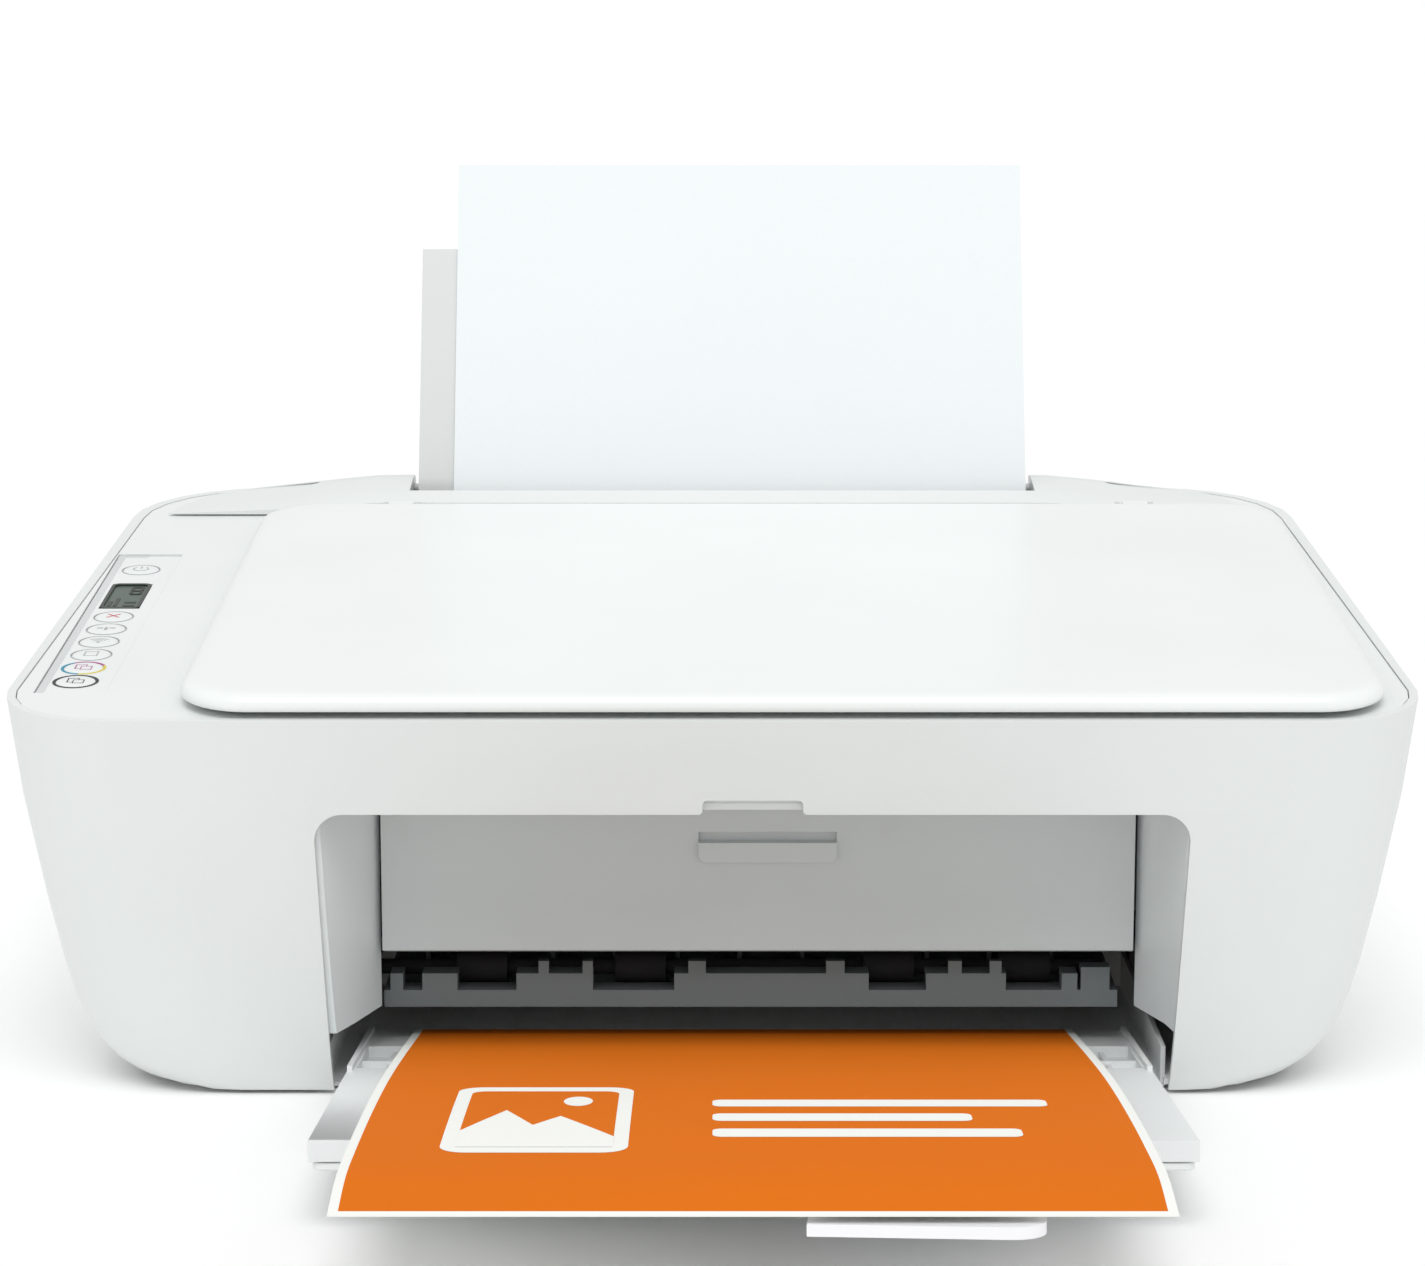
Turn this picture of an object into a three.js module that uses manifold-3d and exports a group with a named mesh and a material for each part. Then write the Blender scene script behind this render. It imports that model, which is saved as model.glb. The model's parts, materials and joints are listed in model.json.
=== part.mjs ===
// Inkjet printer with flatbed scanner: casings, paper path, print mechanism, scanner, controls.
// Millimetres, +Z up, front of the machine towards -Y. The casing's front edge starts at y = 0 and
// the table is z = 0; the last lines move the whole machine so that its box is centred on the origin.
import * as THREE from "three";
import { mergeVertices } from "three/addons/utils/BufferGeometryUtils.js";
import Module from "manifold-3d";

const wasm = await Module();
wasm.setup();

// ---------------------------------------------------------------- driving dimensions
const GAP = 0.35; // between pieces that touch
const WALL = 2.5; // casing wall
const CORNER_FRONT = 32; // plan radius of the casing's front corners
const CORNER_REAR = 46;
const REAR_TAPER = 8; // the casing is this much narrower, each side, at the rear
const CASE_BOTTOM = 1.2;
// casing sections from bottom to top: height, half width, front face y, rear face y
const CASE_SECTIONS = [
  [CASE_BOTTOM, 176, 17, 287],
  [4, 182.5, 15.5, 290.5],
  [8, 187.4, 13.8, 293],
  [13, 191.4, 12.4, 294.6],
  [19, 194.8, 11.2, 295.6],
  [28, 197.9, 9.8, 296],
  [38, 200.5, 8.4, 296],
  [60, 205, 5.7, 296],
  [92, 210.6, 2.2, 296],
  [119.8, 214, 0, 296],
  [152, 218.4, -2, 296],
];

const DECK = { z: 119.8, tilt: 5.64 }; // height at the front edge, slope up to the rear in degrees
const LID = { x: [-160.4, 202.4], y: [1.2, 247], z: [1.9, 7.3], corner: 22, skin: 2.2, rim: 5 };
const LID_HINGE = { y: 249, z: 4, xs: [-112, 152] };
const GLASS = { x: [-128, 181], y: [14, 240], z: [-3.7, -1.8] };
const TUB_FLOOR = -20;
const SCAN_HEAD_WIDTH = 22;

const PANEL = { x: [-206.4, -184.2], y: [30, 199], top: -0.9 };
const BUTTON_RADIUS = 6.2;
const BUTTON_PITCH = 15;
const FIRST_BUTTON_Y = 44;
const PANEL_X = -195.8; // middle of the buttons and the display
const DISPLAY = { y: [129.5, 161.5], half: 6.7 };
const POWER_BUTTON_Y = 179.5;

const MOUTH = { left: -118.9, right: 142.7, top: 90.7, corner: 8.5, slant: 3.3 };
const MOUTH_NOTCH = { x: [-3, 27], rise: 4.4, corner: 1.6, depth: 5 };
const THROAT = { left: -103.3, right: 131.7, y: 45, top: 97.5, bottom: 20 };
const DOOR = { x: [-102.5, 130.6], y: [40.5, 44], z: [38, 95.5], pin: 40 };
const GRIP = { x: [-4.3, 38.4], z: [67.2, 76.6], ledge: 6.4, corner: 2.5 };

const TRAY = { x: 11.2, z: 12.7, slope: 6.77, half: 121, front: -110.8, rear: 72.5 };
const TRAY_PLATE = 1.6;
const TRAY_COVER = { top: -6.1, bottom: -8.4 };
const EXTENDER = { pivot: [64.5, -91.5], length: 115.5, left: -44, right: 15, z: [-5.7, -2.6], skew: -4.3 };

const SHEET = { left: -95, right: 115, thick: 0.3 }; // width of an A4 sheet
const SHEET_LEAN = 22.9; // degrees back from upright
const SHEET_TOP = { y: 322.3, z: 267.3 };
const SHEET_STRAIGHT = 237; // length from the top edge to the start of the bend
const SHEET_BEND = 32; // bend radius
const SHEET_TAIL = 22; // flat length after the bend
const CHUTE_OFFSET = 1.2; // chute surface behind the sheet

const SLOT = { left: -110.6, right: 117.7, y: 265.5 }; // paper input slot
const SUPPORT = { left: -108, right: 112, pivot: [288, 150], above: 88.6, thick: 2.8 };

const GEAR = { module: 1, x: [-158, -153] };
const FEED = { y: 112, z: 27, radius: 6, teeth: 24 };
const OUTPUT = { y: 66, z: 27, radius: 5, teeth: 20 };
const IDLER = { y: 88, z: 27, teeth: 24 };
const PINION_TEETH = 12;
const PINION_ANGLE = -15; // degrees, direction from the feed gear's centre
const STAR_RADIUS = 4;
const STAR_XS = [-73, -22.8, 55.8, 98.9];
const STAR_HALF_SPAN = 3.6;
const PICK = { y: 221.8, z: 69, radius: 14.8 };

const CARRIAGE = { x: [116, 192], y: [86, 123], z: [40, 92] };
const PULLEY = { x: 182, z: 80, radius: 6, y: [126.5, 131.5] };
const BELT_THICK = 1;

// ---------------------------------------------------------------- finishes
const finish = (color, roughness, metalness = 0) => ({ color, roughness, metalness });
const WHITE = finish(0xeff0ef, 0.45);
const SHELL = finish(0xe1e4e3, 0.5);
const GREY = finish(0xadafaf, 0.55);
const DARK = finish(0x4a4c4b, 0.6);
const BLACK = finish(0x1c1d1e, 0.5);
const RUBBER = finish(0x2a2a2b, 0.85);
const STEEL = finish(0xa9abad, 0.35, 0.9);
const PAPER = finish(0xf4f8f9, 0.9);
const PRINT = finish(0xe77820, 0.7);
const GEAR_PLASTIC = finish(0xe8e6dc, 0.5);
const BOARD = finish(0x1f6b3c, 0.6);
const LCD = finish(0x4d5c52, 0.25);
const GLAZING = finish(0xaebfbd, 0.08);
const FOAM = finish(0xf2f2ef, 0.95);

// ---------------------------------------------------------------- solids
const rad = THREE.MathUtils.degToRad;

function solid(geometry) {
  for (const name of Object.keys(geometry.attributes)) {
    if (name !== "position") geometry.deleteAttribute(name);
  }
  const merged = mergeVertices(geometry, 1e-4);
  return new wasm.Manifold(
    new wasm.Mesh({
      numProp: 3,
      vertProperties: merged.attributes.position.array,
      triVerts: new Uint32Array(merged.index.array),
    }),
  );
}

function box(x0, x1, y0, y1, z0, z1) {
  const shape = new THREE.BoxGeometry(x1 - x0, y1 - y0, z1 - z0);
  return solid(shape.translate((x0 + x1) / 2, (y0 + y1) / 2, (z0 + z1) / 2));
}

// Maps a section drawn in the plane across an axis onto that axis: (y, z), (x, z) or (x, y).
function acrossAxis(geometry, axis, from, to) {
  const turn = new THREE.Matrix4();
  if (axis === "x") {
    turn.set(0, 0, 1, from, 1, 0, 0, 0, 0, 1, 0, 0, 0, 0, 0, 1);
  } else if (axis === "y") {
    turn.set(1, 0, 0, 0, 0, 0, -1, to, 0, 1, 0, 0, 0, 0, 0, 1);
  } else {
    turn.makeTranslation(0, 0, from);
  }
  return geometry.applyMatrix4(turn);
}

function prism(shape, axis, from, to, curveSegments = 6) {
  const outline = Array.isArray(shape) ? new THREE.Shape(shape.map((p) => new THREE.Vector2(...p))) : shape;
  const options = { depth: to - from, bevelEnabled: false, curveSegments };
  return solid(acrossAxis(new THREE.ExtrudeGeometry(outline, options), axis, from, to));
}

function rod(axis, radius, from, to, a, b, sides = 20) {
  const shape = new THREE.Shape();
  shape.absarc(a, b, radius, 0, Math.PI * 2);
  return prism(shape, axis, from, to, sides / 2); // an arc gets two sides for each segment asked for
}

function roundedRect(x0, x1, y0, y1, r) {
  const shape = new THREE.Shape();
  shape.absarc(x1 - r, y0 + r, r, -Math.PI / 2, 0);
  shape.absarc(x1 - r, y1 - r, r, 0, Math.PI / 2);
  shape.absarc(x0 + r, y1 - r, r, Math.PI / 2, Math.PI);
  shape.absarc(x0 + r, y0 + r, r, Math.PI, Math.PI * 1.5);
  return shape;
}

// Skin through rings of points, each ring anticlockwise seen from the far end, with flat ends.
function loft(rings) {
  const count = rings[0].length;
  const positions = rings.flat().flatMap((p) => [p.x, p.y, p.z]);
  const index = [];
  for (let k = 0; k + 1 < rings.length; k++) {
    for (let i = 0; i < count; i++) {
      const [a, b] = [k * count + i, k * count + ((i + 1) % count)];
      index.push(a, b, b + count, a, b + count, a + count);
    }
  }
  for (const [ring, flip] of [[0, true], [rings.length - 1, false]]) {
    const centre = new THREE.Vector3();
    rings[ring].forEach((p) => centre.addScaledVector(p, 1 / count));
    const hub = positions.length / 3;
    positions.push(centre.x, centre.y, centre.z);
    for (let i = 0; i < count; i++) {
      const [a, b] = [ring * count + i, ring * count + ((i + 1) % count)];
      index.push(hub, flip ? b : a, flip ? a : b);
    }
  }
  const geometry = new THREE.BufferGeometry();
  geometry.setAttribute("position", new THREE.BufferAttribute(new Float32Array(positions), 3));
  return solid(geometry.setIndex(index));
}

// Closed strip along a path in the (y, z) plane, between two offsets to its left.
function strip(path, near, far) {
  const side = (offset) =>
    path.map((p, i) => {
      const [before, after] = [path[Math.max(i - 1, 0)], path[Math.min(i + 1, path.length - 1)]];
      const along = new THREE.Vector2().subVectors(after, before).normalize();
      return [p.x - along.y * offset, p.y + along.x * offset];
    });
  return [...side(near), ...side(far).reverse()];
}

const union = (...parts) => parts.reduce((whole, part) => whole.add(part));
const cut = (whole, ...tools) => tools.reduce((rest, tool) => rest.subtract(tool), whole);

// ---------------------------------------------------------------- scene
const machine = new THREE.Group();
machine.name = "inkjet_printer";
const deckFrame = new THREE.Group(); // z = 0 is the plane of the deck
deckFrame.position.z = DECK.z;
deckFrame.rotation.x = rad(DECK.tilt);
const trayFrame = new THREE.Group(); // z = 0 is the top of the output tray, x = 0 its middle
trayFrame.position.set(TRAY.x, 0, TRAY.z);
trayFrame.rotation.x = -rad(TRAY.slope);
machine.add(deckFrame, trayFrame);

function piece(name, body, look, group = machine) {
  const mesh = body.getMesh();
  const geometry = new THREE.BufferGeometry();
  geometry.setAttribute("position", new THREE.BufferAttribute(mesh.vertProperties, 3));
  geometry.setIndex(new THREE.BufferAttribute(mesh.triVerts, 1));
  geometry.computeVertexNormals();
  const made = new THREE.Mesh(geometry, new THREE.MeshStandardMaterial(look));
  made.name = name;
  group.add(made);
  return made;
}

// ---------------------------------------------------------------- casing
// Plan outline of the casing at one section, moved in by inset.
function caseOutline([z, half, front, rear], inset) {
  const steps = 6;
  const sideFront = half - CORNER_FRONT;
  const sideRear = half - REAR_TAPER - CORNER_REAR;
  const corners = [
    [sideFront, front + CORNER_FRONT, CORNER_FRONT, -90],
    [sideRear, rear - CORNER_REAR, CORNER_REAR, 0],
    [-sideRear, rear - CORNER_REAR, CORNER_REAR, 90],
    [-sideFront, front + CORNER_FRONT, CORNER_FRONT, 180],
  ];
  return corners.flatMap(([x, y, radius, start]) =>
    Array.from({ length: steps + 1 }, (_, i) => {
      const angle = rad(start + (90 * i) / steps);
      const reach = radius - inset;
      return new THREE.Vector3(x + reach * Math.cos(angle), y + reach * Math.sin(angle), z);
    }),
  );
}

// The casing's outer form moved in by inset, its ends stretched up and down.
function caseBody(inset, stretch = 0) {
  const last = CASE_SECTIONS.length - 1;
  return loft(
    CASE_SECTIONS.map(([z, ...rest], i) => {
      const end = i === 0 ? -stretch : i === last ? stretch : 0;
      return caseOutline([z + end, ...rest], inset);
    }),
  );
}

// A solid drawn in the deck's frame, turned into the machine's frame.
function fromDeck(body) {
  return body.rotate([DECK.tilt, 0, 0]).translate([0, 0, DECK.z]);
}

const BIG = 500;
const aboveDeck = (z) => fromDeck(box(-BIG, BIG, -BIG, BIG, z, BIG));
const deckHeight = (y) => DECK.z + y * Math.tan(rad(DECK.tilt));

// The mouth seen from the front, with a rounded finger notch in its top edge.
function mouthOutline() {
  const { left, right, top, corner, slant } = MOUTH;
  const [notchLeft, notchRight] = MOUTH_NOTCH.x;
  const notchTop = top + MOUTH_NOTCH.rise;
  const r = MOUTH_NOTCH.corner;
  const shape = new THREE.Shape();
  shape.moveTo(left + slant, -1);
  shape.lineTo(right - slant, -1);
  shape.lineTo(right, top - corner);
  shape.absarc(right - corner, top - corner, corner, 0, Math.PI / 2);
  shape.lineTo(notchRight + r / 2, top);
  shape.lineTo(notchRight, top + r / 2);
  shape.absarc(notchRight - r, notchTop - r, r, 0, Math.PI / 2);
  shape.absarc(notchLeft + r, notchTop - r, r, Math.PI / 2, Math.PI);
  shape.lineTo(notchLeft, top + r / 2);
  shape.lineTo(notchLeft - r / 2, top);
  shape.absarc(left + corner, top - corner, corner, Math.PI / 2, Math.PI);
  return shape;
}

const INLET = { x: [112, 138], z: [11, 35] };
const USB = { x: [-151, -137], z: [12, 24] };
const cavity = caseBody(WALL, 20);
const room = caseBody(WALL + GAP, 20);
const outerCase = cut(
  caseBody(0),
  cavity,
  aboveDeck(0),
  prism(mouthOutline(), "y", -20, 40),
  box(SLOT.left - 3, SLOT.right + 3, 270, BIG, 141, BIG),
  box(INLET.x[0], INLET.x[1], 280, BIG, INLET.z[0], INLET.z[1]),
  box(USB.x[0], USB.x[1], 280, BIG, USB.z[0], USB.z[1]),
);
piece("outer_case", outerCase, SHELL);

// Walls and ceiling that run in from the mouth to the cartridge door.
const flange = (x0, x1, xi) => {
  const t = x0 < 0 ? -1.8 : 1.8;
  return prism(
    x0 < 0
      ? [[x0, 1], [x1, 25], [xi, THROAT.y], [xi + t, THROAT.y], [x1 + t, 26], [x0 + t, 2]]
      : [[x0, 1], [x0 + t, 2], [x1 + t, 26], [xi + t, THROAT.y], [xi, THROAT.y], [x1, 25]],
    "z",
    THROAT.bottom,
    THROAT.top + 2,
  );
};
const ceiling = prism(
  [[1, MOUTH.top], [28, THROAT.top], [THROAT.y, THROAT.top], [THROAT.y, THROAT.top + 2], [27, THROAT.top + 2],
    [1, MOUTH.top + 2]],
  "x",
  THROAT.left - 6,
  THROAT.right + 6,
);
const notchSides = [MOUTH_NOTCH.x[0] - 2.5, MOUTH_NOTCH.x[1] + 2.5];
const notchSpace = box(...notchSides, 0, MOUTH_NOTCH.depth, MOUTH.top - 2, BIG);
const notchBack = box(...notchSides, MOUTH_NOTCH.depth + 0.2, MOUTH_NOTCH.depth + 1.8, MOUTH.top + 1.4, MOUTH.top + 7);
const throat = union(
  flange(MOUTH.left - 0.5, -110, THROAT.left),
  flange(MOUTH.right + 0.5, 138.8, THROAT.right),
  ceiling.subtract(notchSpace),
  notchBack,
).intersect(room);
piece("mouth_surround", throat, SHELL);

const TUNNEL = { x: [-117.5, 137.5], y: [22, 134], floor: [0.9, 2.1], wall: 1.5, top: 13.5 };
const tunnelBox = (grow, z0, z1) =>
  box(TUNNEL.x[0] - grow, TUNNEL.x[1] + grow, TUNNEL.y[0] - 30, TUNNEL.y[1] + grow, z0, z1);
const trayWalls = cut(
  box(-BIG, BIG, TUNNEL.y[0], TUNNEL.y[1] + TUNNEL.wall, TUNNEL.floor[0], TUNNEL.top).intersect(
    tunnelBox(TUNNEL.wall, 0, 20),
  ),
  tunnelBox(0, TUNNEL.floor[1], 30),
);
const floorPlate = cut(room.intersect(box(-BIG, BIG, -BIG, BIG, 2.5, 4.5)), tunnelBox(TUNNEL.wall / 2, 0, 20));
const floorRim = cut(
  room.intersect(box(-BIG, BIG, 60, BIG, 2.5, 9)),
  caseBody(WALL + GAP + 2, 20),
  box(INLET.x[0] - 2, INLET.x[1] + 2, 250, BIG, 0, 20),
);
piece("base_tray", union(trayWalls, floorPlate, floorRim), GREY);

for (const [side, x] of [["left", -150], ["right", 152]]) {
  for (const [end, y] of [["front", 52], ["rear", 258]]) {
    piece(`foot_${end}_${side}`, rod("z", 8, 0, 2.15, x, y, 16), RUBBER);
  }
}

// Raised strip behind the lid that rises into the shroud of the paper slot.
const SHROUD_SECTIONS = [[253.2, 149.4, 197], [256, 150.8, 196], [266, 152.3, 193], [282, 154.3, 184],
  [289, 154.9, 176], [295.6, 153.5, 160]]; // y, height of the middle, half width at the foot
const shroud = loft(
  SHROUD_SECTIONS.map(([y, top, half]) => {
    const foot = deckHeight(y) + GAP;
    const rise = top - foot;
    const side = [[half, 0], [half, 0.08], [149, 0.5], [138, 0.76], [124, 0.97], [112, 1]];
    const right = side.map(([x, up]) => new THREE.Vector3(x, y, foot + up * rise));
    const left = side.map(([x, up]) => new THREE.Vector3(-x, y, foot + up * rise)).reverse();
    return [...left, ...right].reverse();
  }),
);
const shroudSkin = loft(
  SHROUD_SECTIONS.map(([y, top, half], i) => {
    const foot = deckHeight(y) - 1;
    const rise = top - 2 - foot;
    const inner = i === 0 ? y + 2 : i === SHROUD_SECTIONS.length - 1 ? y - 2 : y;
    const side = [[half - 5, 0], [half - 5, 0.05], [146, 0.45], [136, 0.74], [123, 0.97], [112, 1]];
    const right = side.map(([x, up]) => new THREE.Vector3(x, inner, foot + up * rise));
    const left = side.map(([x, up]) => new THREE.Vector3(-x, inner, foot + up * rise)).reverse();
    return [...left, ...right].reverse();
  }),
);
const cheek = (x) => box(x, x + 2.4, SLOT.y, 295.4, deckHeight(SLOT.y) + 3.4, 156);
const hingeSocket = rod("x", 2.2, -BIG, BIG, ...SUPPORT.pivot, 16);
const slotHole = box(SLOT.left, SLOT.right, SLOT.y, BIG, 100, BIG);
const inputShroud = cut(
  union(shroud.subtract(shroudSkin), cheek(SLOT.left - 2.4).intersect(shroud), cheek(SLOT.right).intersect(shroud)),
  slotHole,
  hingeSocket,
);
piece("input_shroud", inputShroud, SHELL);

// ---------------------------------------------------------------- scanner
const deckPlate = (z0, z1) =>
  fromDeck(box(-BIG, BIG, -BIG, BIG, z0, z1)).intersect(caseBody(WALL + GAP, 20));
const fromDeckFrame = (body) => body.translate([0, 0, -DECK.z]).rotate([-DECK.tilt, 0, 0]);
const buttonYs = [0, 1, 2, 3, 4, 5].map((i) => FIRST_BUTTON_Y + i * BUTTON_PITCH);
const deckBody = cut(
  fromDeckFrame(deckPlate(-1.6, -0.3)),
  box(GLASS.x[0] + 4, GLASS.x[1] - 4, GLASS.y[0] + 4, GLASS.y[1] - 4, -9, 9),
  box(PANEL.x[0], PANEL.x[1], PANEL.y[0], PANEL.y[1], -9, 9),
  box(SLOT.left - 2.8, SLOT.right + 2.8, 264, BIG, -9, 9),
);
piece("scanner_deck", deckBody, WHITE, deckFrame);
piece("scanner_glass", box(...GLASS.x, ...GLASS.y, ...GLASS.z), GLAZING, deckFrame);

const tub = cut(
  box(GLASS.x[0], GLASS.x[1], GLASS.y[0] - 2, GLASS.y[1] + 2, TUB_FLOOR, GLASS.z[0] - GAP),
  box(GLASS.x[0] + 2, GLASS.x[1] - 2, GLASS.y[0], GLASS.y[1], TUB_FLOOR + 1.8, 9),
);
piece("scanner_tub", tub, GREY, deckFrame);
const RACK = { y: [122, 128], z: [TUB_FLOOR + 1.8 + GAP, TUB_FLOOR + 5.5] };
const rackTeeth = Array.from({ length: 18 }, (_, i) =>
  box(GLASS.x[0] + 12 + i * 16, GLASS.x[0] + 20 + i * 16, ...RACK.y, RACK.z[1] - 0.5, RACK.z[1] + 1.4),
);
piece("scan_rack", union(box(GLASS.x[0] + 6, GLASS.x[1] - 6, ...RACK.y, ...RACK.z), ...rackTeeth), GEAR_PLASTIC,
  deckFrame);
const headX = GLASS.x[0] + 5;
const scanHead = cut(
  box(headX, headX + SCAN_HEAD_WIDTH, GLASS.y[0] + 3, GLASS.y[1] - 3, TUB_FLOOR + 3.5, GLASS.z[0] - 1.6),
  box(headX - 1, headX + SCAN_HEAD_WIDTH + 1, RACK.y[0] - 1.5, RACK.y[1] + 1.5, -BIG, RACK.z[1] + 3),
  box(headX + 8, headX + 14, GLASS.y[0] + 8, GLASS.y[1] - 8, GLASS.z[0] - 3, 0),
);
piece("scan_head", scanHead, BLACK, deckFrame);

// Lid: a shallow shell with a rolled front edge, notched at the rear for its two hinges.
const lidOutline = (inset) =>
  roundedRect(LID.x[0] + inset, LID.x[1] - inset, LID.y[0] + inset, LID.y[1] - inset, LID.corner - inset / 2);
const lidLayers = [[3, 0.4, 0], [1.2, 0, 0.7], [0, 0.6, 2.4]].map(([inset, low, high]) =>
  prism(lidOutline(inset), "z", LID.z[0] + low, LID.z[1] - high, 4),
);
const knuckle = (x) =>
  union(
    rod("x", 2.6, x - 4.5, x + 4.5, LID_HINGE.y, LID_HINGE.z, 16),
    box(x - 4.5, x + 4.5, 240, LID_HINGE.y, LID_HINGE.z - 1.2, LID_HINGE.z + 2.4),
  );
const lidNotch = (x) => box(x - 8, x + 8, 243, 252, -1, 9);
const lidBody = cut(
  union(
    cut(
      union(...lidLayers),
      box(LID.x[0] + LID.rim, LID.x[1] - LID.rim, LID.y[0] + LID.rim, LID.y[1] - 8, 0, LID.z[1] - LID.skin),
      ...LID_HINGE.xs.map(lidNotch),
    ),
    ...LID_HINGE.xs.map(knuckle),
  ),
  ...LID_HINGE.xs.map((x) => rod("x", 1.8, x - 9, x + 9, LID_HINGE.y, LID_HINGE.z, 16)),
);
piece("scanner_lid", lidBody, WHITE, deckFrame);
const backing = box(GLASS.x[0] + 7, GLASS.x[1] - 7, GLASS.y[0] + 7, GLASS.y[1] - 7, 0.1, LID.z[1] - LID.skin - GAP);
piece("lid_backing", backing, FOAM, deckFrame);
for (const [side, x] of [["left", LID_HINGE.xs[0]], ["right", LID_HINGE.xs[1]]]) {
  const ear = (at) => box(at - 0.8, at + 0.8, LID_HINGE.y - 2.2, LID_HINGE.y + 2.2, 0.05, LID_HINGE.z + 1.8);
  const pin = rod("x", 1.45, x - 6, x + 6, LID_HINGE.y, LID_HINGE.z, 16);
  piece(`lid_hinge_pin_${side}`, union(ear(x - 6), ear(x + 6), pin), GREY, deckFrame);
}

// ---------------------------------------------------------------- control panel
const buttonHole = (y) => rod("z", BUTTON_RADIUS + 0.35, -9, 9, PANEL_X, y, 24);
const bezel = cut(
  box(PANEL.x[0] + GAP, PANEL.x[1] - GAP, PANEL.y[0] + GAP, PANEL.y[1] - GAP, PANEL.top - 1.5, PANEL.top),
  ...buttonYs.map(buttonHole),
  buttonHole(POWER_BUTTON_Y),
  box(PANEL_X - DISPLAY.half, PANEL_X + DISPLAY.half, ...DISPLAY.y, -9, 9),
);
piece("control_bezel", bezel, WHITE, deckFrame);
const displayBody = box(PANEL_X - DISPLAY.half + 0.3, PANEL_X + DISPLAY.half - 0.3, DISPLAY.y[0] + 0.3,
  DISPLAY.y[1] - 0.3, -4, PANEL.top - 0.25);
piece("lcd_display", displayBody, LCD, deckFrame);
const BUTTON_NAMES = ["black_copy", "colour_copy", "resume", "wireless", "information", "cancel"];
const buttonPlaces = [...BUTTON_NAMES.map((name, i) => [name, buttonYs[i]]), ["power", POWER_BUTTON_Y]];
for (const [name, y] of buttonPlaces) {
  const cap = rod("z", BUTTON_RADIUS, -4, PANEL.top + 0.35, PANEL_X, y, 24);
  piece(`${name}_button`, cap.add(rod("z", 2, -6, -3, PANEL_X, y, 12)), WHITE, deckFrame);
}
piece("control_board", box(PANEL.x[0] + 4, PANEL.x[1] - 1, PANEL.y[0] + 5, PANEL.y[1] - 5, -9.2, -7.6), BOARD,
  deckFrame);

// ---------------------------------------------------------------- cartridge door
const ledgeTop = GRIP.z[0] + GRIP.ledge;
const ledgeShape = new THREE.Shape(); // rounded lower corners
ledgeShape.absarc(GRIP.x[0] + GRIP.corner, GRIP.z[0] + GRIP.corner, GRIP.corner, Math.PI, Math.PI * 1.5);
ledgeShape.absarc(GRIP.x[1] - GRIP.corner, GRIP.z[0] + GRIP.corner, GRIP.corner, Math.PI * 1.5, Math.PI * 2);
ledgeShape.lineTo(GRIP.x[1], ledgeTop);
ledgeShape.lineTo(GRIP.x[0], ledgeTop);
const doorPlate = union(
  box(DOOR.x[0], DOOR.x[1], DOOR.y[0], DOOR.y[1], DOOR.z[0] + 1, DOOR.z[1]),
  prism(ledgeShape, "y", DOOR.y[0] - 1.8, DOOR.y[0] + 1, 4),
);
const doorPivot = [(DOOR.y[0] + DOOR.y[1]) / 2, DOOR.pin];
const doorBarrel = rod("x", 1.7, DOOR.x[0], DOOR.x[1], ...doorPivot, 16);
const doorBody = cut(
  union(doorPlate, doorBarrel),
  box(GRIP.x[0], GRIP.x[1], DOOR.y[0] - 1, DOOR.y[0] + 1.8, ledgeTop, GRIP.z[1]),
  box(DOOR.x[0] + 12, DOOR.x[1] - 12, DOOR.y[1] - 1.4, DOOR.y[1] + 1, DOOR.z[0] + 8, DOOR.z[1] - 8),
);
piece("cartridge_door", doorBody, GREY);

// ---------------------------------------------------------------- output tray
const { half: T, front: TF, rear: TR } = TRAY;
const POCKET = { x: [102, 118.5], y: [3, 42], depth: 3.4, wall: 1.2 };
const pocketSides = [-1, 1];
const pocketBox = (side, grow, z0, z1) => {
  const [a, b] = [side * (POCKET.x[0] - grow), side * (POCKET.x[1] + grow)];
  return box(Math.min(a, b), Math.max(a, b), POCKET.y[0] - grow, POCKET.y[1] + grow, z0, z1);
};
const trayRib = (side, y) => {
  const [a, b] = [side * (POCKET.x[0] - 1), side * (POCKET.x[1] + 1)];
  return box(Math.min(a, b), Math.max(a, b), y, y + 1.4, -POCKET.depth - 0.5, -0.9);
};
const sweep = [-120, 26]; // front opening that the extender swings through
const trayBody = union(
  cut(
    union(
      prism(roundedRect(-T, T, TF, TR, 3), "z", -TRAY_PLATE, 0, 4),
      box(-T, T, TF, TF + 2.6, TRAY_COVER.top + GAP, 0),
      ...pocketSides.map((s) => box(s * T - 0.8 - s * 0.8, s * T + 0.8 - s * 0.8, TF, 0, TRAY_COVER.top + GAP, 0)),
      ...pocketSides.map((s) => box(s * T - 0.8 - s * 0.8, s * T + 0.8 - s * 0.8, -2, TR, -TRAY_PLATE, 1.5)),
      ...pocketSides.map((s) => pocketBox(s, POCKET.wall, -POCKET.depth - POCKET.wall, 0)),
    ),
    ...pocketSides.map((s) => pocketBox(s, 0, -POCKET.depth, 9)),
    box(EXTENDER.pivot[0] + sweep[0] - 4, EXTENDER.pivot[0] + sweep[1], TF - 1, TF + 4, -BIG, -TRAY_PLATE),
  ),
  ...pocketSides.map((s) => trayRib(s, 20)),
  ...pocketSides.map((s) => box(s * 110 - 0.7, s * 110 + 0.7, ...POCKET.y, -POCKET.depth - 0.5, -1.6)),
  rod("z", 2, TRAY_COVER.top + GAP, -1, ...EXTENDER.pivot, 16),
);
piece("output_tray", trayBody, GREY, trayFrame);
const coverBody = prism(roundedRect(-T + 1, T - 1, TF + 0.4, -34, 3), "z", TRAY_COVER.bottom, TRAY_COVER.top, 4);
piece("output_tray_cover", coverBody, WHITE, trayFrame);

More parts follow.
